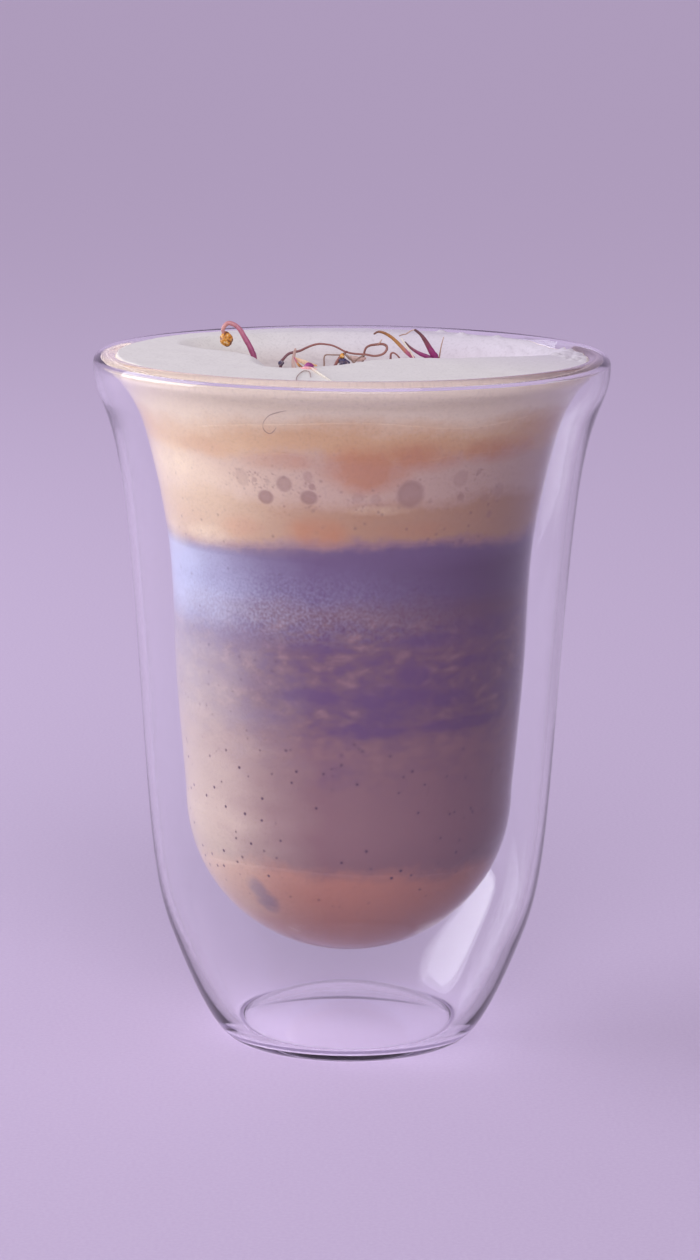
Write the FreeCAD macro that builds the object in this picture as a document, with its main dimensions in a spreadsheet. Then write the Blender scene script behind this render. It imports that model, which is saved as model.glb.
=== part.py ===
import FreeCAD, Part
import math
import os
import re
import Sketcher

# Ube latte in a double-walled glass.  Millimetres, +Z up, with the origin in
# the middle of the foot, on the surface that the glass stands on.  -Y is the
# front, and an azimuth is counted from there towards +X, in degrees.

# Driving dimensions: alias, value and what it is.
SIZES = [
    ("rim_radius", 45.0, "outer radius of the drinking rim"),
    ("glass_height", 122.4, "table to the top of the lip"),
    ("lip_radius", 2.2, "half the thickness of the rounded lip"),
    ("lip_run", 1.4, "upright run of the bowl's wall under the lip"),
    ("lip_roof", 2.4, "glass between the sealed air space and the lip's top"),
    ("outer_wall", 1.5, "thickness of the outer wall"),
    ("inner_wall", 1.4, "thickness of the inner wall"),
    ("flare_drop", 6.3, "flare of the outer wall: how far under the lip"),
    ("neck_inset", 5.6, "neck of the outer wall: how far within the rim"),
    ("neck_drop", 5.8, "neck of the outer wall: how far under the lip"),
    ("hip_inset", 9.5, "hip of the outer wall: how far within the rim"),
    ("hip_level", 31.2, "hip of the outer wall: level"),
    ("calf_inset", 13.1, "outer wall under the hip: how far within the rim"),
    ("calf_level", 19.1, "outer wall under the hip: level"),
    ("heel_width", 2.9, "how far the rounded heel stands out from the foot"),
    ("heel_fill", 0.7, "extra glass inside, above the heel"),
    ("foot_radius", 20.8, "outer radius of the ring that the glass stands on"),
    ("foot_width", 1.6, "width of that ring"),
    ("punt_rise", 4.8, "rise of the underside within the ring"),
    ("base_wall", 2.0, "thickness of the base"),
    ("seal_radius", 2.6, "radius of the melted seal under the base"),
    ("seal_drop", 0.6, "how far the seal hangs under the base"),
    ("floor_gap", 8.6, "air between the base and the bowl's bottom"),
    ("bowl_gap", 5.1, "air between the hip and the round bowl bottom"),
    ("bowl_run", 1.7, "upright run of the wall over the round bottom"),
    ("waist_gap", 2.5, "air between the hip's and the waist's controls"),
    ("waist_rise", 25.0, "waist of the bowl: how far over the round bottom"),
    ("throat_gap", 7.2, "air between the neck's and the throat's controls"),
    ("throat_drop", 32.2, "throat of the bowl: how far under the lip"),
    ("mouth_inset", 3.8, "flare of the bowl's mouth: how far within the lip"),
    ("mouth_drop", 1.7, "flare of the bowl's mouth: how far under the lip"),
    ("drink_gap", 0.1, "clearance between the drink and the glass"),
    ("foam_drop", 1.2, "top of the foam at the glass: how far under the lip"),
    ("foam_crown", 0.7, "how much higher the foam is towards its middle"),
    ("foam_tilt", 0.45, "rise of the foam's top to one side"),
    ("foam_high_side", -130.0, "azimuth of that side"),
    ("hollow_sink", 4.6, "depth of the hollow in the foam"),
    ("hollow_half_width", 31.0, "hollow: half its width, left to right"),
    ("hollow_half_length", 17.0, "hollow: half its length, front to back"),
    ("hollow_right", 4.0, "hollow: its centre, to the right"),
    ("hollow_back", 13.5, "hollow: its centre, to the back"),
    ("hollow_edge", 8.5, "hollow: width of its rounded edge"),
    ("notch_reach", 17.0, "how far a notch of the hollow runs to the front"),
    ("notch_azimuth", -24.5, "azimuth of the notch from the hollow's centre"),
    ("notch_spread", 19.5, "half the angle that the notch takes up"),
    ("foam_top_depth", 9.6, "top foam: depth"),
    ("foam_top_tilt", 1.8, "top foam: rise of its underside to one side"),
    ("foam_top_high_side", 15.0, "top foam: azimuth of that side"),
    ("foam_top_ripple", 0.5, "top foam: ripples of its underside"),
    ("caramel_upper_depth", 4.6, "upper caramel layer: depth"),
    ("caramel_upper_tilt", 0.4, "upper caramel: rise of its underside"),
    ("caramel_upper_high_side", 20.0, "upper caramel: azimuth of that rise"),
    ("caramel_upper_ripple", 0.5, "upper caramel: ripples of its underside"),
    ("foam_middle_depth", 8.2, "middle foam: depth"),
    ("foam_middle_tilt", 0.3, "middle foam: rise of its underside"),
    ("foam_middle_high_side", -30.0, "middle foam: azimuth of that rise"),
    ("foam_middle_ripple", 0.7, "middle foam: ripples of its underside"),
    ("caramel_lower_depth", 9.6, "lower caramel layer: depth"),
    ("caramel_lower_tilt", 2.2, "lower caramel: rise of its underside"),
    ("caramel_lower_high_side", 8.0, "lower caramel: azimuth of that rise"),
    ("caramel_lower_ripple", 0.25, "lower caramel: ripples of its underside"),
    ("ube_layer_depth", 10.0, "violet layer: depth"),
    ("ube_layer_tilt", 1.8, "violet layer: rise of its underside"),
    ("ube_layer_high_side", 10.0, "violet layer: azimuth of that rise"),
    ("ube_layer_ripple", 0.6, "violet layer: ripples of its underside"),
    ("marbled_layer_share", 0.49, "marbled layer: its share of what is left"),
    ("marbled_layer_tilt", 1.6, "marbled layer: rise of its underside"),
    ("marbled_layer_high_side", 5.0, "marbled layer: azimuth of that rise"),
    ("marbled_layer_ripple", 0.8, "marbled layer: ripples of its underside"),
    ("milk_layer_tilt", 1.6, "milk layer: rise of its underside"),
    ("milk_layer_high_side", -25.0, "milk layer: azimuth of that rise"),
    ("milk_layer_ripple", 0.4, "milk layer: ripples of its underside"),
    ("bottom_layer_depth", 16.7, "bottom layer: depth in the middle"),
    ("drip_length", 3.4, "length of the drip under the upper caramel"),
    ("drip_half_width", 6.5, "half the width of that drip"),
    ("drip_azimuth", 4.0, "azimuth of that drip"),
    ("stem_radius", 0.5, "radius of the garnish's thick stems"),
    ("tendril_radius", 0.25, "radius of the garnish's thin tendril"),
    ("root_depth", 1.6, "how deep the garnish stands in the foam"),
    ("seed_half_width", 1.1, "seed head of the garnish: half its width"),
    ("seed_half_height", 1.35, "seed head of the garnish: half its height"),
]

# Layers from the top down.  Each name also names its underside's sizes.
UPPER_LAYERS = ["foam_top", "caramel_upper", "foam_middle", "caramel_lower",
                "ube_layer", "marbled_layer", "milk_layer"]
LOWEST_LAYER = "bottom_layer"
DRIPPING_LAYER = "caramel_upper"

# Ripples of each underside: waves once round the wall, and their phase.
# A weaker, finer wave rides on each of them.
FINER_BY = 3
FINER_SHARE = 0.4
RIPPLES = {
    "foam_top": (5, 40.0),
    "caramel_upper": (6, 110.0),
    "foam_middle": (4, 200.0),
    "caramel_lower": (3, 300.0),
    "ube_layer": (5, 20.0),
    "marbled_layer": (4, 155.0),
    "milk_layer": (3, 70.0),
}

# Routes of the garnish from the hollow's centre: to the right, to the back,
# and up from the foam's edge.  ROOT stands for a point deep in the foam.
ROOT = None
LEFT_STEM = [(-21.2, -0.1, ROOT), (-21.5, 0.1, 0.2), (-22.3, 0.4, 2.4),
             (-24.3, 0.8, 4.2), (-26.4, 1.0, 4.2), (-27.0, 0.9, 2.8),
             (-26.5, 0.8, 1.4)]
RIGHT_STEM = [(11.0, 1.1, ROOT), (10.7, 1.0, -1.6), (9.7, 0.7, 0.2),
              (8.8, 0.5, 1.6), (8.0, 0.3, 2.6), (7.1, 0.3, 3.2)]
TENDRIL = [(-16.9, 0.5, ROOT), (-16.6, 0.5, -2.8), (-14.6, 0.6, -1.0),
           (-11.6, 0.5, 0.3), (-8.6, 0.3, 0.8), (-5.7, 0.1, 0.3),
           (-3.4, 0.1, -0.8), (-1.0, 0.2, -1.3), (0.9, 0.4, -1.1),
           (1.9, 0.7, -0.1), (1.2, 1.0, 0.8), (-0.6, 1.1, 0.8),
           (-1.8, 0.9, -0.4), (-2.5, 0.7, -2.8), (-2.6, 0.6, ROOT)]

SPACING = 3.0        # between the points that a free-form surface runs through
BEND_SHARE = 0.45    # how much of a route's shorter side goes into a bend
AXIS = -2            # the sketcher's number for a sketch's upright axis
GROUND = -1          # and for its level axis and its origin
START, END, CENTRE = 1, 2, 3
UP = FreeCAD.Vector(0, 0, 1)

doc = FreeCAD.newDocument("ube_latte")


# ------------------------------------------------------------ driving sizes

def make_sheet():
    """Writes the driving dimensions to a spreadsheet with named cells."""
    cells = doc.addObject("Spreadsheet::Sheet", "Sizes")
    for row, (alias, value, meaning) in enumerate(SIZES, start=1):
        cells.set("A%d" % row, meaning)
        cells.set("B%d" % row, str(value))
        cells.setAlias("B%d" % row, alias)
    doc.recompute()
    return cells


sheet = make_sheet()


def bound(formula):
    """Turns 'hip_radius - outer_wall' into an expression on the sheet."""
    return re.sub(r"\b([a-z]\w*)\b", r"Sizes.\1", formula)


def value_of(formula):
    return float(sheet.evalExpression(bound(formula)))


def vector_of(point):
    """The sketch point for a pair of formulas, radius and level."""
    return FreeCAD.Vector(value_of(point[0]), value_of(point[1]), 0)


# ----------------------------------------------------------------- sketches

def new_body(label):
    body = doc.addObject("PartDesign::Body", label)
    body.Label = label
    return body


def half_section(body, name):
    """A sketch in which x is the radius and y is the level."""
    sketch = body.newObject("Sketcher::SketchObject", name)
    upright = [plane for plane in body.Origin.OriginFeatures
               if plane.Role == "XZ_Plane"]
    sketch.AttachmentSupport = [(upright[0], "")]
    sketch.MapMode = "FlatFace"
    return sketch


def hold(sketch, kind, item, vertex, formula):
    """Binds a vertex's radius (DistanceX) or level (DistanceY) to a formula."""
    constraint = Sketcher.Constraint(kind, GROUND, 1, item, vertex, value_of(formula))
    number = sketch.addConstraint(constraint)
    name = "%s_%d_%d" % (kind, item, vertex)
    sketch.renameConstraint(number, name)
    sketch.setExpression("Constraints." + name, bound(formula))


def put_on(sketch, item, vertex, line):
    sketch.addConstraint(Sketcher.Constraint("PointOnObject", item, vertex, line))


def hold_level(sketch, item, vertex, level):
    if level == "0":
        put_on(sketch, item, vertex, GROUND)
    else:
        hold(sketch, "DistanceY", item, vertex, level)


def join(sketch, first, first_end, second, second_end):
    """Makes two ends one corner."""
    sketch.addConstraint(Sketcher.Constraint(
        "Coincident", first, first_end, second, second_end))


def add_wall(sketch, controls):
    """A smooth wall: a cubic B-spline held at its control points."""
    poles = [vector_of(point) for point in controls]
    spans = len(poles) - 3
    curve = Part.BSplineCurve()
    curve.buildFromPolesMultsKnots(
        poles, [4] + [1] * (spans - 1) + [4],
        [float(knot) for knot in range(spans + 1)], False, 3)
    wall = sketch.addGeometry(curve, False)
    for number, (radius, level) in enumerate(controls):
        pole = sketch.addGeometry(Part.Circle(poles[number], UP, 1.0), True)
        sketch.addConstraint(Sketcher.Constraint(
            "InternalAlignment:Sketcher::BSplineControlPoint",
            pole, CENTRE, wall, number))
        sketch.addConstraint(Sketcher.Constraint("Weight", pole, 1.0))
        hold(sketch, "DistanceX", pole, CENTRE, radius)
        hold_level(sketch, pole, CENTRE, level)
    return wall


def add_arc(sketch, centre, start, end):
    """An arc about a centre, counter-clockwise from its start to its end."""
    circle = Part.Circle(centre, UP, centre.distanceToPoint(start))
    angles = [math.atan2(point.y - centre.y, point.x - centre.x)
              for point in (start, end)]
    return sketch.addGeometry(Part.ArcOfCircle(circle, *angles), False)


def add_line(sketch, start, end):
    return sketch.addGeometry(Part.LineSegment(vector_of(start), vector_of(end)), False)


def add_cap(sketch, outer, outer_top, inner, inner_top):
    """Half a circle from the outer wall's end to the inner wall's start."""
    start, end = vector_of(outer_top), vector_of(inner_top)
    cap = add_arc(sketch, (start + end) / 2, start, end)
    join(sketch, cap, START, outer, END)
    join(sketch, cap, END, inner, START)
    hold(sketch, "DistanceY", cap, CENTRE, outer_top[1])


def add_dome(sketch, side, side_end, rim, apex):
    """An arc from one end of a side to the axis, with its centre on the axis."""
    start, end = vector_of(rim), vector_of(apex)
    rise = end.y - start.y
    radius = (start.x ** 2 + rise ** 2) / (2 * rise)
    centre = FreeCAD.Vector(0, end.y - radius, 0)
    if rise > 0:
        dome = add_arc(sketch, centre, start, end)
        at_rim, at_apex = START, END
    else:
        dome = add_arc(sketch, centre, end, start)
        at_rim, at_apex = END, START
    join(sketch, dome, at_rim, side, side_end)
    hold_level(sketch, dome, at_apex, apex[1])
    put_on(sketch, dome, at_apex, AXIS)
    put_on(sketch, dome, CENTRE, AXIS)
    return dome, at_apex


def add_punt(sketch, side, level):
    """The rise of the base, seen from under it or from the air space."""
    return add_dome(sketch, side, START, (RING_EDGE, level), ("0", level + " + punt_rise"))


def add_round_bottom(sketch, wall, step):
    """The bowl's round bottom, moved outwards by the formula step."""
    lowest = "%s - (0%s)" % (BOWL_BOTTOM, step)
    return add_dome(sketch, wall, END, (BOWL_RADIUS + step, BOWL_LEVEL), ("0", lowest))


def close_on_axis(sketch, lower, upper):
    """A line up the axis between two domes, each with its apex's vertex."""
    tips = [sketch.getPoint(item, vertex) for item, vertex in (lower, upper)]
    line = sketch.addGeometry(Part.LineSegment(*tips), False)
    join(sketch, line, START, *lower)
    join(sketch, line, END, *upper)


def turn(body, sketch, kind):
    """Turns a half section about the axis, to add it or to take it away."""
    feature = body.newObject(kind, sketch.Name + "_turned")
    feature.Profile = sketch
    feature.ReferenceAxis = (sketch, ["V_Axis"])
    feature.Angle = 360.0
    return feature


# -------------------------------------------------------------------- glass

LIP_LEVEL = "glass_height - lip_radius"
AIR_LEVEL = "glass_height - lip_roof - lip_radius + (outer_wall + inner_wall) / 2"
HIP_RADIUS = "rim_radius - hip_inset"
NECK_RADIUS = "rim_radius - neck_inset"
MOUTH_RADIUS = "rim_radius - 2 * lip_radius"
BOTH_WALLS = " - outer_wall - inner_wall"
THROAT_RADIUS = NECK_RADIUS + BOTH_WALLS + " - throat_gap"
BOWL_RADIUS = HIP_RADIUS + BOTH_WALLS + " - bowl_gap"
BOWL_BOTTOM = "base_wall + punt_rise + floor_gap + inner_wall"
BOWL_LEVEL = BOWL_BOTTOM + " + " + BOWL_RADIUS
RING_EDGE = "foot_radius - foot_width"


def outer_wall(step, foot, foot_level, fill, top):
    """The outer wall from its foot up, moved by the formula step."""
    return [
        (foot, foot_level),
        ("foot_radius + heel_width" + step, foot_level),
        ("rim_radius - calf_inset" + step, "calf_level" + fill),
        (HIP_RADIUS + step, "hip_level"),
        (NECK_RADIUS + step, LIP_LEVEL + " - neck_drop"),
        ("rim_radius" + step, LIP_LEVEL + " - flare_drop"),
        ("rim_radius" + step, top),
    ]


def bowl_wall(step, top):
    """The bowl's wall from its top down, moved outwards by the formula step."""
    return [
        (MOUTH_RADIUS + step, top),
        (MOUTH_RADIUS + step, top + " - lip_run"),
        (MOUTH_RADIUS + " - mouth_inset" + step, LIP_LEVEL + " - mouth_drop"),
        (THROAT_RADIUS + step, LIP_LEVEL + " - throat_drop"),
        (HIP_RADIUS + BOTH_WALLS + " - waist_gap" + step, BOWL_LEVEL + " + waist_rise"),
        (BOWL_RADIUS + step, BOWL_LEVEL + " + bowl_run"),
        (BOWL_RADIUS + step, BOWL_LEVEL),
    ]


def make_glass():
    """Both walls, the lip and the base, round a sealed air space."""
    body = new_body("glass")

    outline = half_section(body, "GlassOutline")
    outside = outer_wall("", "foot_radius", "0", "", LIP_LEVEL)
    inside = bowl_wall("", LIP_LEVEL)
    outer = add_wall(outline, outside)
    inner = add_wall(outline, inside)
    add_cap(outline, outer, outside[-1], inner, inside[0])
    ring = add_line(outline, (RING_EDGE, "0"), outside[0])
    join(outline, ring, END, outer, START)
    hold(outline, "DistanceX", ring, START, RING_EDGE)
    put_on(outline, ring, START, GROUND)
    punt = add_punt(outline, ring, "0")
    close_on_axis(outline, punt, add_round_bottom(outline, inner, ""))
    turn(body, outline, "PartDesign::Revolution")

    air = half_section(body, "AirSpace")
    outside = outer_wall(" - outer_wall", RING_EDGE, "base_wall", " + heel_fill", AIR_LEVEL)
    inside = bowl_wall(" + inner_wall", AIR_LEVEL)
    outer = add_wall(air, outside)
    inner = add_wall(air, inside)
    add_cap(air, outer, outside[-1], inner, inside[0])
    floor = add_punt(air, outer, "base_wall")
    close_on_axis(air, floor, add_round_bottom(air, inner, " + inner_wall"))
    doc.recompute()
    turn(body, air, "PartDesign::Groove")

    seal = body.newObject("PartDesign::AdditiveEllipsoid", "Seal")
    seal.setExpression("Radius1", bound("seal_drop"))
    seal.setExpression("Radius2", bound("seal_radius"))
    seal.setExpression("Radius3", bound("seal_radius"))
    seal.setExpression("Placement.Base.z", bound("punt_rise"))
    return body


# -------------------------------------------------------------------- drink

def make_drink_form():
    """All that the bowl could hold, up to the lip, as one solid."""
    body = new_body("drink_form")
    section = half_section(body, "DrinkSection")
    side = bowl_wall(" - drink_gap", LIP_LEVEL)
    edge = (side[0][0], "glass_height")
    middle = ("0", "glass_height")
    wall = add_wall(section, side)
    above = add_line(section, side[0], edge)
    join(section, above, START, wall, START)
    hold(section, "DistanceX", above, END, edge[0])
    hold_level(section, above, END, edge[1])
    lid = add_line(section, edge, middle)
    join(section, lid, START, above, END)
    hold_level(section, lid, END, middle[1])
    put_on(section, lid, END, AXIS)
    close_on_axis(section, add_round_bottom(section, wall, " - drink_gap"), (lid, END))
    turn(body, section, "PartDesign::Revolution")
    return body


FOAM_LEVEL = "glass_height - foam_drop"


def underside_level(layer):
    """A layer's mean underside: counted down from the foam, or up from below."""
    number = UPPER_LAYERS.index(layer)
    measured = UPPER_LAYERS[:UPPER_LAYERS.index("marbled_layer")]
    last = BOWL_BOTTOM + " + bottom_layer_depth"
    if layer == UPPER_LAYERS[-1]:
        return last
    depths = " + ".join(name + "_depth" for name in measured[:number + 1])
    level = "%s - (%s)" % (FOAM_LEVEL, depths)
    if layer in measured:
        return level
    return "%s - marbled_layer_share * (%s - (%s))" % (level, level, last)


def polar(x, y):
    """Distance from the middle and azimuth from the front."""
    return math.hypot(x, y), math.degrees(math.atan2(x, -y))


def bump(distance, half_width):
    return math.exp(-(distance / half_width) ** 2)


def smooth_step(share):
    share = min(1.0, max(0.0, share))
    return share * share * (3.0 - 2.0 * share)


def foam_height(x, y):
    """The foam's top: a low crown with an uneven hollow behind the middle."""
    reach, azimuth = polar(x - value_of("hollow_right"), y - value_of("hollow_back"))
    turned = math.radians(azimuth)
    edge = 1.0 / math.hypot(math.sin(turned) / value_of("hollow_half_width"),
                            math.cos(turned) / value_of("hollow_half_length"))
    edge += value_of("notch_reach") * bump(azimuth - value_of("notch_azimuth"),
                                           value_of("notch_spread"))
    inside = smooth_step((edge - reach) / value_of("hollow_edge") + 0.5)
    share = polar(x, y)[0] / value_of("rim_radius")
    level = value_of(FOAM_LEVEL) + value_of("foam_crown") * (1.0 - share * share)
    level += value_of("foam_tilt") * share * math.cos(
        math.radians(polar(x, y)[1] - value_of("foam_high_side")))
    return level - value_of("hollow_sink") * inside


def underside_height(layer, x, y):
    """A layer's underside: tilted, rippled, and with a drip where it has one."""
    distance, azimuth = polar(x, y)
    share = distance / value_of(THROAT_RADIUS)
    waves, phase = RIPPLES[layer]
    wave = math.cos(math.radians(waves * azimuth + phase))
    finer = (waves + FINER_BY) * azimuth - 2.0 * phase
    wave += FINER_SHARE * math.cos(math.radians(finer))
    high_side = math.radians(azimuth - value_of(layer + "_high_side"))
    level = value_of(underside_level(layer))
    level += value_of(layer + "_tilt") * share * math.cos(high_side)
    level += value_of(layer + "_ripple") * share * share * wave
    if layer == DRIPPING_LAYER:
        aside = distance * math.radians(azimuth - value_of("drip_azimuth"))
        drip = bump(aside, value_of("drip_half_width"))
        level -= value_of("drip_length") * share * share * drip
    return level


def make_space_above(name, height):
    """Everything above a free-form surface, as a tall block."""
    count = math.ceil(value_of("rim_radius") / SPACING)
    ticks = [SPACING * step for step in range(-count, count + 1)]
    grid = [[FreeCAD.Vector(x, y, height(x, y)) for y in ticks] for x in ticks]
    surface = Part.BSplineSurface()
    surface.interpolate(grid)
    face = doc.addObject("Part::Feature", name + "_surface")
    face.Shape = surface.toShape()
    block = doc.addObject("Part::Extrusion", name + "_block")
    block.Base = face
    block.DirMode = "Custom"
    block.Dir = UP
    block.setExpression("LengthFwd", bound("glass_height"))
    return block


def combine(kind, name, base, tool):
    result = doc.addObject(kind, name)
    result.Base = base
    result.Tool = tool
    return result


def make_drink(form, garnish):
    """Splits the drink into its layers, from the foam down."""
    air = make_space_above("air", foam_height)
    filled = combine("Part::Cut", "filled", form, air)
    rest = combine("Part::Cut", "pierced", filled, garnish)
    layers = []
    for name in UPPER_LAYERS:
        block = make_space_above(name, lambda x, y: underside_height(name, x, y))
        layers.append(combine("Part::Common", name + "_whole", rest, block))
        rest = combine("Part::Cut", name + "_rest", rest, block)
    layers.append(rest)
    for layer, label in zip(layers, UPPER_LAYERS + [LOWEST_LAYER]):
        layer.Label = label
    return layers


# ------------------------------------------------------------------ garnish

def place(point):
    """A garnish point in the drink."""
    right, back, up = point
    if up is ROOT:
        up = -value_of("hollow_sink + root_depth")
    return FreeCAD.Vector(right + value_of("hollow_right"), back + value_of("hollow_back"),
                          up + value_of(FOAM_LEVEL))


def route_of(points):
    """Straight runs joined by tangent arcs, as one wire."""
    corners = [place(point) for point in points]
    edges = []
    last = corners[0]
    for before, corner, after in zip(corners, corners[1:], corners[2:]):
        inward = (before - corner).normalize()
        outward = (after - corner).normalize()
        cut = BEND_SHARE * min(before.distanceToPoint(corner), after.distanceToPoint(corner))
        start = corner + inward * cut
        end = corner + outward * cut
        half = inward.getAngle(outward) / 2.0
        reach = cut / math.cos(half) - cut * math.tan(half)
        middle = corner + (inward + outward).normalize() * reach
        edges.append(Part.LineSegment(last, start).toShape())
        edges.append(Part.Arc(start, middle, end).toShape())
        last = end
    edges.append(Part.LineSegment(last, corners[-1]).toShape())
    return Part.Wire(edges)


def make_stem(name, points, radius):
    """A round stem along a route, with a rounded tip."""
    route = doc.addObject("Part::Feature", name + "_route")
    route.Shape = route_of(points)
    section = doc.addObject("Part::Circle", name + "_section")
    section.setExpression("Radius", bound(radius))
    first = route.Shape.Edges[0]
    start = first.valueAt(first.FirstParameter)
    ahead = first.tangentAt(first.FirstParameter)
    section.Placement = FreeCAD.Placement(start, FreeCAD.Rotation(UP, ahead))
    stem = doc.addObject("Part::Sweep", name + "_stem")
    stem.Sections = [section]
    stem.Spine = (route, ["Edge%d" % (i + 1) for i in range(len(route.Shape.Edges))])
    stem.Solid = True
    tip = doc.addObject("Part::Sphere", name + "_tip")
    tip.setExpression("Radius", bound(radius))
    last = route.Shape.Edges[-1]
    tip.Placement.Base = last.valueAt(last.LastParameter)
    return combine_all(name, [stem, tip])


def combine_all(name, pieces):
    whole = doc.addObject("Part::MultiFuse", name)
    whole.Shapes = pieces
    whole.Label = name
    return whole


def make_seed_head(points):
    """A drooping seed head round the end of the left stem."""
    head = doc.addObject("Part::Ellipsoid", "seed_head")
    head.setExpression("Radius1", bound("seed_half_height"))
    head.setExpression("Radius2", bound("seed_half_width"))
    head.setExpression("Radius3", bound("seed_half_width"))
    head.Placement.Base = place(points[-1])
    return head


def make_garnish():
    left = make_stem("garnish_left_shoot", LEFT_STEM, "stem_radius")
    left = combine_all("garnish_left", [left, make_seed_head(LEFT_STEM)])
    right = make_stem("garnish_right", RIGHT_STEM, "stem_radius")
    middle = make_stem("garnish_middle", TENDRIL, "tendril_radius")
    return [left, middle, right]


# -------------------------------------------------------------- the document

def check(sub_parts):
    """Stops if a feature failed or a sub-part isn't one sound solid."""
    for thing in doc.Objects:
        if "Invalid" in thing.State or "Error" in thing.State:
            raise RuntimeError("%s failed: %s" % (thing.Name, thing.State))
    for thing in sub_parts:
        shape = thing.Shape
        if shape.isNull() or not shape.isValid() or len(shape.Solids) != 1:
            raise RuntimeError("%s isn't one sound solid" % thing.Label)


def write(sub_parts):
    os.makedirs("parts", exist_ok=True)
    for thing in sub_parts:
        thing.Shape.exportStep("parts/%s.step" % thing.Label)
        print("%-16s %10.2f mm3" % (thing.Label, thing.Shape.Volume))


glass = make_glass()
drink_form = make_drink_form()
garnish = make_garnish()
layers = make_drink(drink_form, combine_all("all_garnish", garnish))
doc.recompute()
sub_parts = [glass] + layers + garnish
check(sub_parts)
write(sub_parts)
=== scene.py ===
"""A latte in violet, caramel and foam layers, in a double-walled glass, with sprouts."""

import math
import random

import bpy
import numpy as np
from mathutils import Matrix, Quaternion, Vector, noise
from mathutils.bvhtree import BVHTree


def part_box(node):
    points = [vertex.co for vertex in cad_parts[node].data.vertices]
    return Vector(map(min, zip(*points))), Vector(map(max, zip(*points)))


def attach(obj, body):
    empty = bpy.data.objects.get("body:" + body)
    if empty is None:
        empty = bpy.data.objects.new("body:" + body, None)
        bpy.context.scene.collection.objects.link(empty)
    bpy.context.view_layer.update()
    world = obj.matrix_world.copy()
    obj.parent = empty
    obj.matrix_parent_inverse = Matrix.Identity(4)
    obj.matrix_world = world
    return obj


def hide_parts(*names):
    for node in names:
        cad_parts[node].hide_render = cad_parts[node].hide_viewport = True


MM = 0.001

# ------------------------------------------------------------------ sizes, in millimetres

LAYERS = ["foam_top", "caramel_upper", "foam_middle", "caramel_lower",
          "ube_layer", "marbled_layer", "milk_layer", "bottom_layer"]
SLOTS = {
    "foam_top": "milk_foam", "caramel_upper": "coffee_milk", "foam_middle": "milk_foam",
    "caramel_lower": "coffee_milk", "ube_layer": "ube_milk",
    "marbled_layer": "marbled_milk", "milk_layer": "milk_mix",
    "bottom_layer": "coffee_base",
}
REACH = 0.12            # how far the drink's pieces go into the glass
COLUMNS = 384           # vertices round a layer
BUBBLE_COLUMNS = 1080   # and round the bubbly one
ROW = 0.5               # spacing of the rows up a layer's side
BUBBLE_ROW = 0.2
HIDDEN_RINGS = [0.998, 0.9, 0.75, 0.5, 0.25, 0.02]
TUCK = 0.4              # how far a layer's hidden edge reaches up behind the next one

# The half section of a glass of this radius and height: control points of its walls'
# cubic curves, stretched to the CAD glass's box.  The lip's run goes from the outer wall
# over its crest to the inner wall.
GLASS_SIZE = (45.0, 122.4)
OUTER_WALL = [(20.8, 0.0), (23.7, 0.0), (31.9, 19.1), (35.5, 31.2), (39.4, 114.4),
              (45.0, 113.9), (45.0, 120.0)]
INNER_WALL = [(40.6, 120.2), (40.6, 118.8), (36.8, 118.5), (29.3, 88.0), (30.1, 69.3),
              (27.5, 46.0), (27.5, 44.3)]
LIP = [(45.0, 120.0), (44.9, 120.65), (44.55, 121.3), (43.95, 121.75), (43.2, 121.92),
       (42.3, 121.84), (41.5, 121.6), (40.95, 121.2), (40.68, 120.75), (40.6, 120.2)]
BOWL_BOTTOM = 16.8
PUNT = (19.2, 4.8)      # radius and rise of the hollow under the base
AIR_OUTER = [(19.2, 2.0), (22.2, 2.0), (30.4, 19.8), (34.0, 31.2), (37.9, 114.4),
             (43.9, 113.9), (43.9, 119.95)]
AIR_INNER = [(42.6, 119.95), (42.5, 118.2), (38.2, 118.5), (30.7, 88.0), (31.5, 69.3),
             (28.9, 46.0), (28.9, 44.3)]
AIR_BOTTOM = 15.4
GLASS_COLUMNS = 240

# The hollow in the foam: centre, half sizes, depth, edge, and its notch to the front.
HOLLOW_AT = (4.0, 13.5)
HOLLOW_HALF = (31.0, 17.0)
HOLLOW_SINK = 4.6
HOLLOW_EDGE = 8.5
NOTCH = (17.0, -24.5, 19.5)
FOAM_CROWN = 0.7
FOAM_TILT = (0.45, -130.0)
FOAM_DEPTH = 9.6        # from the foam's top to its mean underside

# Bubbles at the glass: azimuth in degrees, height, half width, half height, and
# how dark the painted shade in each one is.
BUBBLES = [
    (-25, 101.1, 1.35, 1.2, 1.0), (-19, 103.6, 1.3, 1.35, 0.8), (-12, 101.4, 1.4, 1.2, 1.0),
    (-11, 103.3, 0.55, 0.55, 0.9), (-12, 105.0, 0.75, 1.0, 0.5), (-32, 104.2, 1.2, 1.5, 0.35),
    (-28, 104.0, 0.45, 0.45, 0.6), (-24, 103.9, 0.45, 0.45, 0.4), (17, 102.0, 2.2, 2.35, 0.9),
    (2, 101.5, 1.0, 0.9, 0.35), (7, 101.2, 0.85, 0.9, 0.35), (32, 104.3, 1.4, 1.4, 0.4),
    (33, 101.0, 0.65, 0.65, 0.8), (47, 101.5, 1.2, 1.3, 0.4), (42, 100.4, 0.95, 0.75, 0.35),
    (45, 97.4, 0.6, 0.65, 0.9), (-11, 99.1, 0.32, 0.32, 0.6), (14, 99.7, 0.25, 0.22, 0.6),
    (23, 100.5, 0.3, 0.3, 0.6), (29, 99.2, 0.3, 0.26, 0.5), (38, 105.2, 0.45, 0.4, 0.6),
    (110, 102.5, 1.6, 1.5, 0.8), (160, 103.0, 1.1, 1.2, 0.8), (-95, 102.0, 1.2, 1.1, 0.7),
    (-140, 101.8, 1.7, 1.6, 0.8),
]
BUBBLY_LAYERS = ("caramel_upper", "foam_middle", "caramel_lower")
SMALL_BUBBLES = 240     # tiny ones round those at the glass
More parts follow.
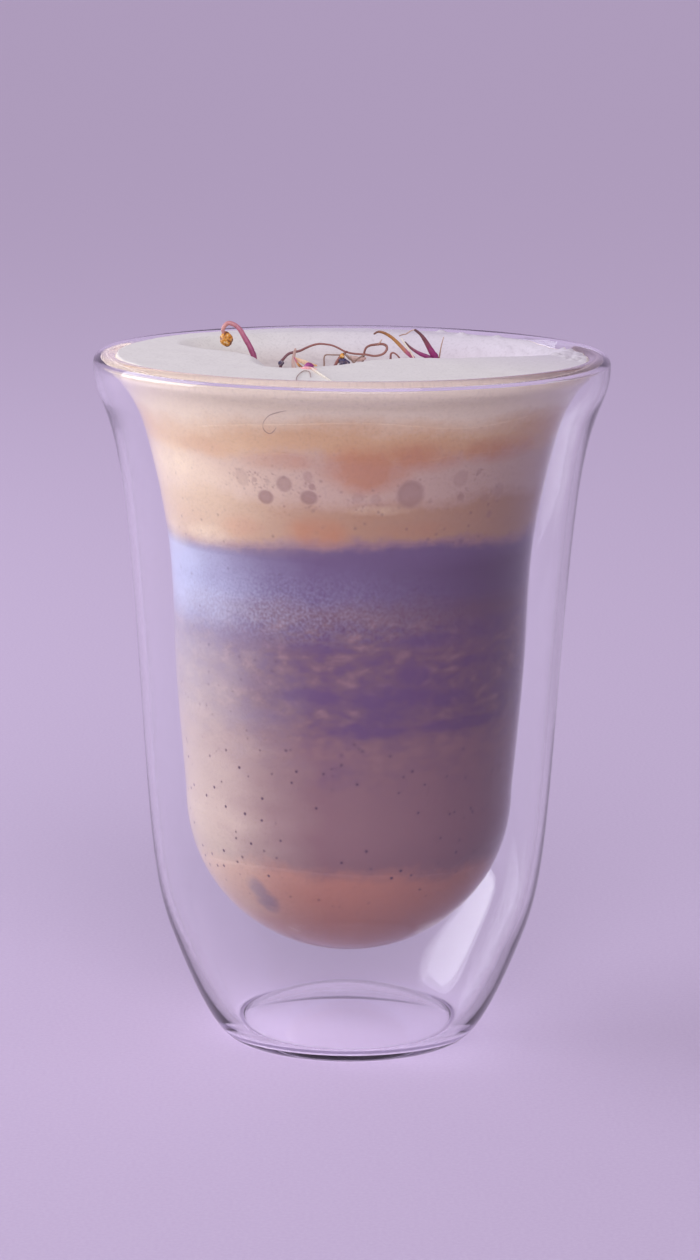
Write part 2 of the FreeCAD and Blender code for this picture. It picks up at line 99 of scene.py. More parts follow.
COARSE_BUBBLES = 90     # those on the foam's top
BUBBLE_DEPTH = 0.04     # how deep a bubble goes in, for its half size

# Patches at the glass: azimuth, height, half the width in degrees, half the height,
# and strength.
VIOLET_PATCHES = [
    (-13, 66.6, 11, 1.7, 1.0), (15, 66.4, 16, 2.5, 1.0), (11, 63.2, 8, 2.4, 0.9),
    (42, 61.1, 21, 1.2, 1.0), (-34, 62.4, 14, 1.7, 0.75), (6, 60.9, 14, 1.4, 1.0),
    (-13, 75.0, 10, 1.2, 0.8), (26, 76.2, 12, 1.4, 0.9), (21, 70.2, 6, 2.2, 0.9),
    (-4, 53.2, 12, 3.0, 0.35), (-38, 68.5, 14, 1.8, 0.5), (-38, 76.5, 14, 2.6, 0.6),
    (44, 71.8, 10, 1.3, 0.7), (33, 66.0, 10, 1.6, 0.9), (60, 66.0, 9, 1.2, 0.7),
    (-26, 57.5, 10, 1.2, 0.35), (50, 77.5, 16, 2.0, 0.7), (6, 73.0, 5, 1.0, 0.7),
    (-39, 30.9, 4.5, 2.3, 0.8), (-36.5, 28.8, 5.5, 2.0, 1.0),
]
PALE_PATCHES = [
    (-49, 93.2, 9, 1.8, 0.5), (-70, 92.0, 9, 3.0, 0.4),
    (-62, 106.0, 16, 2.2, 0.7), (8, 99.2, 10, 0.8, 0.3),
]
ORANGE_PATCHES = [
    (4, 106.6, 11, 3.6, 1.0), (18, 108.5, 13, 2.4, 0.8), (-10, 95.2, 8, 2.4, 1.0),
    (-35, 95.4, 7, 2.0, 0.7), (-44, 108.8, 10, 1.6, 0.55), (44, 108.9, 14, 2.0, 0.7),
    (-20, 107.6, 10, 1.6, 0.6), (20, 95.5, 14, 1.6, 0.3), (-58, 96.0, 8, 1.8, 0.4),
]
PATCHES = {"violet": VIOLET_PATCHES, "pale": PALE_PATCHES, "orange": ORANGE_PATCHES}
PATCH_FADE = 0.69       # how fast a patch fades, which is to a half at its half sizes


# ------------------------------------------------------------------ shader nodes

class Shader:
    """A material with short calls for the nodes that it is made of."""

    def __init__(self, name):
        self.material = bpy.data.materials.new(name)
        self.material.use_nodes = True
        self.tree = self.material.node_tree
        self.tree.nodes.clear()

    def add(self, kind, **settings):
        node = self.tree.nodes.new(kind)
        for key, value in settings.items():
            setattr(node, key, value)
        return node

    def feed(self, socket, value):
        if isinstance(value, bpy.types.NodeSocket):
            self.tree.links.new(value, socket)
        else:
            socket.default_value = value

    def maths(self, operation, *values, clamp=False):
        node = self.add("ShaderNodeMath", operation=operation, use_clamp=clamp)
        for socket, value in zip(node.inputs, values):
            self.feed(socket, value)
        return node.outputs[0]

    def mix(self, share, first, second):
        node = self.add("ShaderNodeMix", data_type="RGBA")
        self.feed(node.inputs[0], share)
        self.feed(node.inputs[6], first)
        self.feed(node.inputs[7], second)
        return node.outputs[2]

    def attribute(self, name):
        return self.add("ShaderNodeAttribute", attribute_name=name).outputs["Fac"]

    def times(self, first, second):
        return self.maths("MULTIPLY", first, second)

    def swing(self, noise_at, reach):
        """Noise as a value that swings about 0."""
        return self.times(self.maths("SUBTRACT", noise_at, 0.5), reach)

    def place(self, stretch=(1.0, 1.0, 1.0)):
        """The point's place in millimetres, each axis multiplied by stretch."""
        node = self.add("ShaderNodeMapping")
        place = self.add("ShaderNodeTexCoord").outputs["Object"]
        self.feed(node.inputs["Vector"], place)
        node.inputs["Scale"].default_value = [s / MM for s in stretch]
        return node.outputs[0]

    def axes(self):
        node = self.add("ShaderNodeSeparateXYZ")
        self.feed(node.inputs[0], self.place())
        return node.outputs

    def noise(self, size, stretch=(1.0, 1.0, 1.0), detail=2.0, roughness=0.5, offset=0.0):
        """Noise whose features are about size millimetres wide."""
        node = self.add("ShaderNodeTexNoise", noise_dimensions="4D")
        self.feed(node.inputs["Vector"], self.place(stretch))
        node.inputs["W"].default_value = offset
        node.inputs["Scale"].default_value = 1.0 / size
        node.inputs["Detail"].default_value = detail
        node.inputs["Roughness"].default_value = roughness
        return node.outputs[0]

    def spots(self, size):
        """Distance to the nearest of the points scattered about size apart, and its colour."""
        node = self.add("ShaderNodeTexVoronoi")
        self.feed(node.inputs["Vector"], self.place())
        node.inputs["Scale"].default_value = 1.0 / size
        return node.outputs["Distance"], node.outputs["Color"]

    def ramp(self, value, stops):
        """Colours or shares against a value: stops are (value, colour or share)."""
        low, high = stops[0][0], stops[-1][0]
        share = self.maths("DIVIDE", self.maths("SUBTRACT", value, low), high - low)
        node = self.add("ShaderNodeValToRGB")
        points = node.color_ramp.elements
        while len(points) < len(stops):
            points.new(0.5)
        for point, (at, colour) in zip(points, stops):
            point.position = (at - low) / (high - low)
            point.color = colour if isinstance(colour, tuple) else (colour,) * 3 + (1.0,)
        self.feed(node.inputs[0], share)
        return node.outputs[0]

    def bump(self, height, strength, distance):
        node = self.add("ShaderNodeBump")
        node.inputs["Strength"].default_value = strength
        node.inputs["Distance"].default_value = distance * MM
        self.feed(node.inputs["Height"], height)
        return node.outputs[0]

    def surface(self, colour, roughness, normal=None, **settings):
        """Ends the material in one Principled shader."""
        node = self.add("ShaderNodeBsdfPrincipled")
        self.feed(node.inputs["Base Color"], colour)
        self.feed(node.inputs["Roughness"], roughness)
        if normal is not None:
            self.feed(node.inputs["Normal"], normal)
        for name, value in settings.items():
            node.inputs[name.replace("_", " ")].default_value = value
        output = self.add("ShaderNodeOutputMaterial")
        self.feed(output.inputs[0], node.outputs[0])
        return self.material


def rgb(red, green, blue):
    """A colour written as it shows on a screen, from 0 to 255."""
    def linear(value):
        value /= 255.0
        return value / 12.92 if value <= 0.04045 else ((value + 0.055) / 1.055) ** 2.4
    return (linear(red), linear(green), linear(blue), 1.0)


# ------------------------------------------------------------------ materials

def clear_glass():
    """Clear glass that lets the lamps reach what is behind it."""
    s = Shader("clear_glass")
    glass = s.add("ShaderNodeBsdfPrincipled")
    glass.inputs["Base Color"].default_value = (0.985, 0.99, 0.99, 1.0)
    glass.inputs["Transmission Weight"].default_value = 1.0
    glass.inputs["IOR"].default_value = 1.47
    glass.inputs["Specular Tint"].default_value = (0.75, 0.72, 0.78, 1.0)
    smear = s.noise(14.0, stretch=(1.0, 1.0, 0.35), detail=2.0)
    s.feed(glass.inputs["Roughness"], s.times(smear, 0.012))
    wave = s.noise(22.0, stretch=(1.0, 1.0, 0.5), detail=1.0, offset=3.0)
    s.feed(glass.inputs["Normal"], s.bump(wave, 0.25, 0.5))
    clear = s.add("ShaderNodeBsdfTransparent")
    path = s.add("ShaderNodeLightPath")
    both = s.add("ShaderNodeMixShader")
    s.feed(both.inputs[0], path.outputs["Is Shadow Ray"])
    s.feed(both.inputs[1], glass.outputs[0])
    s.feed(both.inputs[2], clear.outputs[0])
    output = s.add("ShaderNodeOutputMaterial")
    s.feed(output.inputs[0], both.outputs[0])
    return s.material


# Some colours here are painted light and shade: at the left, right, foam top and bubbles.
COLOURS = {
    "top": rgb(236, 230, 231), "foam": rgb(232, 214, 200), "caramel": rgb(207, 166, 131),
    "froth": rgb(196, 166, 158), "amber": rgb(179, 139, 114), "blush": rgb(156, 120, 128),
    "violet": rgb(106, 83, 124), "mauve": rgb(116, 84, 102), "tan": rgb(134, 98, 106),
    "peach": rgb(180, 122, 108), "dab": rgb(88, 56, 110), "orange": rgb(188, 124, 88),
    "painted_glare": rgb(202, 208, 238), "painted_light_cream": rgb(232, 210, 186), "dark": rgb(84, 56, 76),
    "bubble_shade": rgb(142, 106, 104), "white": rgb(242, 222, 198), "lilac_shade": rgb(208, 196, 218),
    "marble": rgb(160, 122, 128), "shade": rgb(62, 18, 60), "hollow": rgb(196, 174, 172),
}


def layer_colours(s, levels):
    """The drink's colour by level, the same for every layer, with uneven borders."""
    top, caramel1, foam2, caramel2, ube, marbled, milk, base = levels
    c = COLOURS
    wide = s.noise(9.0, stretch=(1.0, 1.0, 1.6), detail=3.0, offset=1.0)
    fine = s.noise(1.3, detail=3.0, roughness=0.6, offset=2.0)
    level = s.maths("ADD", s.attribute("level_mm"), s.swing(wide, 4.6))
    level = s.maths("ADD", level, s.swing(fine, 2.4))
    return s.ramp(level, [
        (base - 20.0, c["peach"]), (base - 1.4, c["peach"]), (base + 1.4, c["tan"]),
        (milk - 3.5, c["tan"]), (milk + 3.0, c["mauve"]), (marbled - 1.8, c["mauve"]),
        (marbled + 1.4, c["violet"]), (ube - 0.9, c["violet"]), (ube + 0.9, c["blush"]),
        (ube + 2.4, c["amber"]), (caramel2 - 1.6, c["amber"]), (caramel2 + 1.4, c["froth"]),
        (foam2 - 1.0, c["froth"]), (foam2 + 1.0, c["caramel"]), (caramel1 - 1.8, c["caramel"]),
        (caramel1 + 2.8, c["foam"]), (top, c["foam"]),
    ])


def frayed(s, patch, softness, size, stretch=(1.0, 1.0, 1.0), offset=0.0):
    """A patch's share, with its outline broken up by noise."""
    broken = s.noise(size, stretch, detail=4.0, roughness=0.62, offset=offset)
    torn = s.times(s.attribute(patch), s.maths("ADD", s.swing(broken, 2.4), 1.0))
    return s.ramp(torn, [(0.0, 0.0), (0.5 - softness, 0.0), (0.5 + softness, 1.0), (1.0, 1.0)])


def warm_patches(s, colour):
    """Orange and pale patches in the caramel and foam."""
    orange = frayed(s, "orange", 0.4, 5.0, offset=11.0)
    colour = s.mix(s.times(orange, 0.75), colour, COLOURS["orange"])
    pale = frayed(s, "pale", 0.42, 3.0, offset=12.0)
    return s.mix(s.times(pale, 0.7), colour, COLOURS["white"])


def marbling(s, colour, z, levels):
    """Violet dabs over the marbled layer, with finer dark and light ones all through it."""
    marbled, milk = levels[5:7]
    wide = frayed(s, "violet", 0.34, 3.0, (1.0, 1.0, 1.5), 6.0)
    flecks = s.noise(3.2, stretch=(1.0, 1.0, 1.7), detail=4.0, roughness=0.62, offset=7.0)
    where = s.ramp(z, [(milk - 10.0, 0.0), (milk, 0.35), (milk + 6.0, 0.9),
                       (marbled - 1.0, 1.0), (marbled + 2.0, 0.0)])
    dark = s.ramp(flecks, [(0.3, 0.0), (0.46, 0.0), (0.6, 1.0), (0.8, 1.0)])
    light = s.ramp(flecks, [(0.2, 1.0), (0.34, 1.0), (0.46, 0.0), (0.8, 0.0)])
    colour = s.mix(s.times(s.times(light, where), 0.5), colour, COLOURS["marble"])
    violet = s.maths("MAXIMUM", wide, s.times(s.times(dark, where), 0.75))
    return s.mix(s.times(violet, 0.8), colour, COLOURS["dab"])


def violet_grain(s, colour, x, z, levels):
    """Real grain low in the violet layer, pale blue as painted light, most at the left."""
    ube, marbled = levels[4:6]
    sand = s.noise(0.5, detail=1.0, offset=8.0)
    where = s.ramp(z, [(marbled - 5.0, 0.0), (marbled + 1.0, 1.0), (marbled + 6.0, 0.6),
                       (ube, 0.15), (ube + 1.0, 0.0)])
    grains = s.ramp(sand, [(0.3, 0.0), (0.4, 0.1), (0.66, 0.6), (0.8, 0.7)])
    # Painted light: the grain shows most at the left.
    left = s.ramp(x, [(-32.0, 0.45), (-14.0, 0.4), (6.0, 0.2), (32.0, 0.04)])
    return s.mix(s.times(s.times(grains, where), left), colour, COLOURS["painted_glare"])


def painted_light_left(s, colour, x, z, levels):
    """Painted light: paler at the left, bluish in the violet, creamy below, white above."""
    foam2, ube, marbled, milk, base = levels[2], *levels[4:]
    wisps = s.noise(7.0, stretch=(1.0, 1.0, 2.0), detail=2.0, offset=5.0)
    reach = s.maths("ADD", x, s.swing(wisps, 7.0))
    side = s.ramp(reach, [(-31.0, 0.85), (-24.0, 0.5), (-14.0, 0.12), (-6.0, 0.0)])
    band = s.ramp(z, [(milk, 0.35), (marbled - 3.0, 0.45), (marbled + 2.0, 0.95),
                      (ube + 0.6, 1.0), (ube + 2.8, 0.0)])
    colour = s.mix(s.times(side, band), colour, COLOURS["painted_glare"])
    side = s.ramp(reach, [(-31.0, 0.85), (-22.0, 0.6), (-12.0, 0.15), (-4.0, 0.0)])
    band = s.ramp(z, [(base - 20.0, 1.0), (base + 10.0, 0.8), (milk, 0.6),
                      (milk + 12.0, 0.4), (marbled, 0.0)])
    colour = s.mix(s.times(side, band), colour, COLOURS["painted_light_cream"])
    side = s.ramp(reach, [(-32.0, 0.8), (-22.0, 0.6), (-8.0, 0.12), (2.0, 0.0)])
    band = s.ramp(z, [(ube + 1.0, 0.0), (ube + 4.0, 0.6), (foam2 - 3.0, 0.9), (foam2, 0.6),
                      (foam2 + 5.0, 0.4)])
    return s.mix(s.times(side, band), colour, COLOURS["white"])


def painted_shade_right(s, colour, x, z, levels):
    """Painted shade: the drink darkens to the right, and the violet layer most of all."""
    foam2, caramel2, ube, marbled, _, base = levels[2:]
    side = s.ramp(x, [(0.0, 0.0), (12.5, 0.36), (23.0, 0.6), (36.0, 0.6)])
    band = s.ramp(z, [(base - 10.0, 0.3), (base + 3.0, 0.55), (marbled - 4.0, 0.6),
                      (marbled + 2.0, 1.0), (ube - 1.0, 1.0), (ube + 2.0, 0.42),
                      (caramel2, 0.36), (foam2, 0.25), (foam2 + 8.0, 0.0)])
    return s.mix(s.times(side, band), colour, COLOURS["shade"])


def open_foam(s, colour, x, y, z, level):
    """Whiter open foam; painted shade: lilac at the back right, warm in the hollow."""
    # Painted shade, lilac, towards the back right.
    back_shade = s.ramp(s.maths("ADD", x, y), [(0.0, 0.0), (45.0, 0.7)])
    top = s.mix(back_shade, COLOURS["top"], COLOURS["lilac_shade"])
    # Painted shade deep in the hollow, most at its left.
    deep = s.ramp(z, [(level - 4.5, 0.6), (level - 1.2, 0.0)])
    left = s.ramp(x, [(-10.0, 1.0), (30.0, 0.15)])
    top = s.mix(s.times(deep, left), top, COLOURS["hollow"])
    return s.mix(s.attribute("open"), colour, top)


def specks(s, colour, z, levels):
    """Fine grain over everything, and dark specks, most of them in the milk layer."""
    foam2, caramel2, _, _, milk, base = levels[2:]
    grain = s.noise(0.5, detail=3.0, roughness=0.6, offset=9.0)
    grains = s.ramp(grain, [(0.3, 0.14), (0.5, 0.0), (0.7, 0.0)])
    colour = s.mix(grains, colour, COLOURS["dark"])
    far, kind = s.spots(1.7)
    chosen = s.ramp(kind, [(0.0, 1.0), (0.45, 1.0), (0.48, 0.0), (1.0, 0.0)])
    dot = s.ramp(far, [(0.0, 1.0), (0.11, 1.0), (0.22, 0.0), (1.0, 0.0)])
    where = s.ramp(z, [(base - 6.0, 0.1), (base + 1.0, 1.0), (milk - 4.0, 1.0),
                       (milk + 4.0, 0.3), (caramel2, 0.3), (foam2 + 8.0, 0.0)])
    return s.mix(s.times(s.times(chosen, dot), where), colour, COLOURS["dark"])


def drink(name, levels, roughness):
    """One layer's material. All share the colours, so that they run together."""
    s = Shader(name)
    x, y, z = s.axes()
    colour = warm_patches(s, layer_colours(s, levels))
    colour = marbling(s, colour, z, levels)
    colour = violet_grain(s, colour, x, z, levels)
    # Painted light at the left, painted shade at the right and on the open foam.
    colour = painted_light_left(s, colour, x, z, levels)
    colour = painted_shade_right(s, colour, x, z, levels)
    colour = open_foam(s, colour, x, y, z, levels[0])
    colour = specks(s, colour, z, levels)
    # Painted shade in the bubbles at the glass.
    colour = s.mix(s.times(s.attribute("bubble_shade"), 0.75), colour, COLOURS["bubble_shade"])
    normal = s.bump(s.noise(1.6, detail=2.0, offset=2.0), 0.1, 0.25)
    return s.surface(colour, roughness, normal, Specular_IOR_Level=0.2)


# ------------------------------------------------------------------ the glass

def tree_of(node):
    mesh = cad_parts[node].data
    return BVHTree.FromPolygons([v.co for v in mesh.vertices],
                                [p.vertices for p in mesh.polygons])


def feel(tree, start, way, what):
    """How far it is from start to the tree's surface."""
    hit = tree.ray_cast(Vector(start), Vector(way))
    if hit[3] is None:
        raise RuntimeError("nothing is felt of " + what)
    return hit[3]


def spline(controls, steps=26):
    """Points along a clamped cubic B-spline."""
    poles = np.array(controls, float)
    spans = len(poles) - 3
    knots = np.concatenate([[0] * 3, np.arange(spans + 1), [spans] * 3]).astype(float)
    made = []
    for t in np.linspace(0.0, spans, spans * steps + 1)[:-1]:
        k = int(t) + 3
        d = [poles[j + k - 3] for j in range(4)]
        for r in range(1, 4):
            for j in range(3, r - 1, -1):
                low = knots[j + k - 3]
                share = (t - low) / (knots[j + 1 + k - r] - low)
                d[j] = (1.0 - share) * d[j - 1] + share * d[j]
        made.append(d[3])
    made.append(poles[-1])
    return np.array(made)


def dome(start, apex, steps=40):
    """An arc from a point to the axis, round a centre on the axis."""
    rise = apex - start[1]
    radius = (start[0] ** 2 + rise ** 2) / (2.0 * rise)
    centre = apex - radius
    first = math.atan2(start[0], (start[1] - centre) * np.sign(radius))
    angle = np.linspace(first, 0.004, steps)
    return np.stack([abs(radius) * np.sin(angle), centre + radius * np.cos(angle)], 1)


def cap(start, end, steps=14):
    """Half a turn over from one wall to the next."""
    middle, half = (start[0] + end[0]) / 2.0, (start[0] - end[0]) / 2.0
    angle = np.linspace(0.0, math.pi, steps)[1:-1]
    return np.stack([middle + half * np.cos(angle), start[1] + half * np.sin(angle)], 1)


def lathe(name, profile, material):
    """A closed skin turned round the axis from a profile of radius and height."""
    turn = np.linspace(0.0, 2.0 * math.pi, GLASS_COLUMNS, endpoint=False)[None, :]
    radius, height = profile[:, 0][:, None], profile[:, 1][:, None]
    rings = np.stack([radius * np.sin(turn), -radius * np.cos(turn),
                      height + 0.0 * turn], 2)
    return grid_mesh(name, rings, material, {})


def make_glass():
    """The glass's skin, with a finer lip than the CAD's, and its sealed air space.

    Both runs of the skin go round so that their faces look out of the glass itself.
    """
    skin = clear_glass()
    outside = np.concatenate([
        dome((PUNT[0], 0.0), PUNT[1])[::-1], spline(OUTER_WALL), curve_through(LIP, 5)[1:-1],
        spline(INNER_WALL), dome(INNER_WALL[-1], BOWL_BOTTOM)[1:]])
    air = np.concatenate([
        dome(AIR_OUTER[0], AIR_OUTER[0][1] + PUNT[1])[::-1], spline(AIR_OUTER)[1:],
        cap(AIR_OUTER[-1], AIR_INNER[0]), spline(AIR_INNER),
        dome(AIR_INNER[-1], AIR_BOTTOM)[1:]])
    low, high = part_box("glass")
    size = min(-low.x, high.x, -low.y, high.y), high.z
    fit = np.array(size) / MM / GLASS_SIZE
    outer = lathe("glass_walls", outside[::-1] * fit, skin)
    inner = lathe("glass_air_space", air * fit, skin)
    bpy.ops.object.select_all(action="DESELECT")
    for piece in (outer, inner):
        piece.select_set(True)
    bpy.context.view_layer.objects.active = outer
    bpy.ops.object.join()
    finish_piece(outer, "clear_glass", "glass")


class Wall:
    """The bowl's inside as radius and height against the length up the wall, in mm."""

    def __init__(self):
        tree = tree_of("glass")
        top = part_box("glass")[1].z - 0.8 * MM
        width = feel(tree, (0, 0, top / 2), (1, 0, 0), "the bowl")
        centre = (0, 0, top / 2)
        bottom = top / 2 - feel(tree, centre, (0, 0, -1), "the bowl's bottom")
        middle = (0, 0, bottom + width)
        radii, heights = [0.0], [bottom]
        for angle in np.radians(np.arange(-88.0, 0.0, 2.0)):
            way = (math.cos(angle), 0, math.sin(angle))
            far = feel(tree, middle, way, "the bowl's bottom")
            radii.append(far * way[0])
            heights.append(middle[2] + far * way[2])
        for height in np.arange(middle[2], top, 0.5 * MM):
            radii.append(feel(tree, (0, 0, height), (1, 0, 0), "the bowl's wall"))
            heights.append(height)
        self.radii = np.array(radii) / MM
        self.heights = np.array(heights) / MM
        steps = np.hypot(np.diff(self.radii), np.diff(self.heights))
        self.lengths = np.concatenate([[0.0], np.cumsum(steps)])

    def radius(self, length):
        return np.interp(length, self.lengths, self.radii)

    def height(self, length):
        return np.interp(length, self.lengths, self.heights)

    def length(self, height):
        return np.interp(height, self.heights, self.lengths)

    def radius_at(self, height):
        return np.interp(height, self.heights, self.radii)


# ------------------------------------------------------------------ the layers' shapes

def smooth_step(share):
    share = np.clip(share, 0.0, 1.0)
    return share * share * (3.0 - 2.0 * share)


def rough(x, y, size, seed):
    """Noise from -1 to 1 at points given by two arrays."""
    flat = [noise.noise(Vector((a / size, b / size, seed)))
            for a, b in zip(np.ravel(x), np.ravel(y))]
    return np.reshape(flat, np.shape(x))


def foam_surface(x, y, level, rim, froth):
    """The foam's top: a low crown with an uneven hollow, lumps and bubbles."""
    u, v = x - HOLLOW_AT[0], y - HOLLOW_AT[1]
    reach = np.hypot(u, v)
    azimuth = np.degrees(np.arctan2(u, -v))
    turned = np.radians(azimuth)
    edge = 1.0 / np.hypot(np.sin(turned) / HOLLOW_HALF[0], np.cos(turned) / HOLLOW_HALF[1])
    edge += NOTCH[0] * np.exp(-((azimuth - NOTCH[1]) / NOTCH[2]) ** 2)
    edge += 0.5 * rough(x, y, 6.0, 3.0)
    inside = smooth_step((edge - reach) / HOLLOW_EDGE + 0.5)
    share = np.hypot(x, y) / rim
    height = level + FOAM_CROWN * (1.0 - share * share) - HOLLOW_SINK * inside
    height += FOAM_TILT[0] * share * np.cos(np.arctan2(x, -y) - math.radians(FOAM_TILT[1]))
    height += 0.12 * rough(x, y, 5.0, 7.0) + 0.035 * rough(x, y, 1.1, 1.0)
    height += inside * (0.3 * rough(x, y, 3.4, 5.0) + 0.1 * rough(x, y, 1.0, 6.0))
    domes = np.zeros(np.shape(x))
    for dome_x, dome_y, size in froth:
        near = (x - dome_x) ** 2 + (y - dome_y) ** 2
        domes = np.maximum(domes, np.sqrt(np.clip(size * size - near, 0.0, None)))
    return height + 0.45 * domes


def coarse_froth():
    """Coarse bubbles on the foam by the glass, at the back right."""
    found = []
    for _ in range(COARSE_BUBBLES):
        azimuth = math.radians(random.gauss(110.0, 14.0))
        reach = 40.3 - abs(random.gauss(0.0, 3.0))
        found.append((reach * math.sin(azimuth), -reach * math.cos(azimuth),
                      random.uniform(0.35, 1.0)))
    return found


def underside(name):
    """The underside of a CAD layer, felt from below, as a function of x and y."""
    tree = tree_of(name)
    lowest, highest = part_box(name)
    reach = 0.5 * min(highest.x - lowest.x, highest.y - lowest.y) / MM - 0.6

    def height(x, y):
        out = np.maximum(1.0, np.hypot(x, y) / reach)
        values = []
        for a, b in zip(np.ravel(x / out), np.ravel(y / out)):
            start = (a * MM, b * MM, lowest.z - MM)
            hit = tree.ray_cast(Vector(start), Vector((0, 0, 1)))
            values.append(hit[0].z / MM if hit[3] is not None else lowest.z / MM)
        return np.reshape(values, np.shape(x))
    return height


def grid_mesh(name, rings, material, values):
    """A closed skin over rings of points, with a value for each point by name."""
    count, columns = rings.shape[:2]
    ends = np.array([rings[0].mean(0), rings[-1].mean(0)])
    points = np.concatenate([rings.reshape(-1, 3), ends])
    first, last = len(points) - 2, len(points) - 1
    column = np.arange(columns)
    after = (column + 1) % columns
    faces = []
    for ring in range(count - 1):
        a, b = ring * columns, (ring + 1) * columns
        faces += np.stack([a + column, b + column, b + after, a + after], 1).tolist()
    faces += [(first, c, n) for c, n in zip(column.tolist(), after.tolist())]
    b = (count - 1) * columns
    faces += [(last, b + n, b + c) for c, n in zip(column.tolist(), after.tolist())]
    mesh = bpy.data.meshes.new(name)
    mesh.from_pydata((points * MM).tolist(), [], faces)
    mesh.polygons.foreach_set("use_smooth", [True] * len(mesh.polygons))
    for key, value in values.items():
        flat = np.concatenate([value.ravel(), [value[0].mean(), value[-1].mean()]])
        layer = mesh.attributes.new(key, "FLOAT", "POINT")
        layer.data.foreach_set("value", flat.astype(np.float32))
    mesh.set_sharp_from_angle(angle=math.radians(60.0))
    mesh.materials.append(material)
    piece = bpy.data.objects.new(name, mesh)
    bpy.context.collection.objects.link(piece)
    return piece


def small_bubbles():
    """Many tiny bubbles, crowded round the large ones."""
    found = []
    while len(found) < SMALL_BUBBLES:
        azimuth, height, wide = random.choice(BUBBLES)[:3]
        turned = random.uniform(0.0, 2.0 * math.pi)
        away = wide + abs(random.gauss(0.0, 1.3))
        azimuth += math.degrees(math.cos(turned) * away / 33.0)
        height += math.sin(turned) * away
        size = random.uniform(0.1, 0.2)
        if 99.0 < height < 106.0:
            found.append((azimuth, height, size, size, random.uniform(0.3, 0.9)))
    return found


def dents(azimuths, heights, radii, bubbles):
    """How deep the bubbles go in at each point, and how much painted shade each point gets
    from the one that it is in.
    """
    depth = np.zeros(heights.shape)
    inside = np.zeros(heights.shape)
    for azimuth, height, half_width, half_height, dark in bubbles:
        aside = np.radians(azimuths - azimuth) * radii / half_width
        above = (heights - height) / half_height
        near = np.sqrt(aside ** 2 + above ** 2)
        hole = np.sqrt(np.clip(1.0 - near ** 2, 0.0, None))
        depth = np.maximum(depth, BUBBLE_DEPTH * min(half_width, half_height) * hole)
        rim = 0.82 + 0.18 * smooth_step((near - 0.5) / 0.5)
        inside = np.maximum(inside, dark * rim * smooth_step((1.25 - near) / 0.5))
    return depth, inside


def patches(table, azimuths, heights):
    """How much each point is in a patch: 1 in the middle, 0 well outside."""
    share = np.zeros(heights.shape)
    for azimuth, height, half_width, half_height, strength in table:
        aside, above = (azimuths - azimuth) / half_width, (heights - height) / half_height
        near = aside ** 2 + above ** 2
        share = np.maximum(share, strength * np.exp(-PATCH_FADE * near ** 1.5))
    return share


def make_layer(name, above, below, span, wall, material, bubbles=()):
    """One layer of the drink between two surfaces, out to just within the glass."""
    columns = BUBBLE_COLUMNS if bubbles else COLUMNS
    azimuth = np.linspace(-180.0, 180.0, columns, endpoint=False)
    right, back = np.sin(np.radians(azimuth)), -np.cos(np.radians(azimuth))

    def edge(surface, guess):
        if surface is None:
            return np.full(columns, wall.heights[0])
        height = np.full(columns, guess)
        for _ in range(3):
            radius = wall.radius_at(height)
            height = surface(radius * right, radius * back)
        return height

    top, bottom = edge(above, span[1]), edge(below, span[0])
    rows = max(4, round((span[1] - span[0]) / (BUBBLE_ROW if bubbles else ROW)))
    share = np.linspace(0.0, 1.0, rows + 1)[:, None]
    start, end = wall.length(top)[None, :], wall.length(bottom)[None, :]
    if below is None:
        end = np.full_like(end, 0.02 * wall.lengths[-1])
    length = start + (end - start) * share
    height, radius = wall.height(length), wall.radius(length)
    # The bubbles' dents, and the painted shade in them.
    depth, bubble_shade = dents(azimuth[None, :], height, radius, bubbles)
    spread = radius + REACH - depth
    side = np.stack([spread * right, spread * back, height], 2)
    level = span[0] + (span[1] - span[0]) * (height - bottom) / (top - bottom)
    rings, levels, marks = [side], [level], [bubble_shade]

    def lid(surface, row, fractions, value):
        """Rings across a layer's top or underside, from its edge inwards."""
        made = []
        for fraction in fractions:
            x, y = side[row, :, 0] * fraction, side[row, :, 1] * fraction
            made.append(np.stack([x, y, surface(x, y)], 1))
        return np.array(made), np.full((len(fractions), columns), value)

    if name == LAYERS[0]:
        cuts = np.linspace(1.0, 0.004, 170)[1:]
    else:
        cuts = HIDDEN_RINGS
    made, value = lid(above, 0, cuts, span[1])
    if name != LAYERS[0]:
        made[0, :, 2] += TUCK
    rings.insert(0, made[::-1])
    levels.insert(0, value)
    marks.insert(0, np.zeros_like(value))
    if below is not None:
        made, value = lid(below, -1, HIDDEN_RINGS, span[0])
        rings.append(made)
        levels.append(value)
        marks.append(np.zeros_like(value))
    rings = np.concatenate(rings)
    values = {"level_mm": np.concatenate(levels), "bubble_shade": np.concatenate(marks)}
    values["open"] = np.zeros(values["bubble_shade"].shape)
    if name == LAYERS[0]:
        values["open"][:len(cuts)] = 1.0
    turned = np.degrees(np.arctan2(rings[..., 0], -rings[..., 1]))
    for key, table in PATCHES.items():
        values[key] = patches(table, turned, rings[..., 2])
    piece = grid_mesh("drink_" + name, rings, material, values)
    finish_piece(piece, SLOTS[name], name)


def finish_piece(piece, slot, *nodes):
    """Puts a piece on the glass, in place of the CAD nodes that it stands for."""
    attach(piece, "root")
    if nodes:
        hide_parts(*nodes)


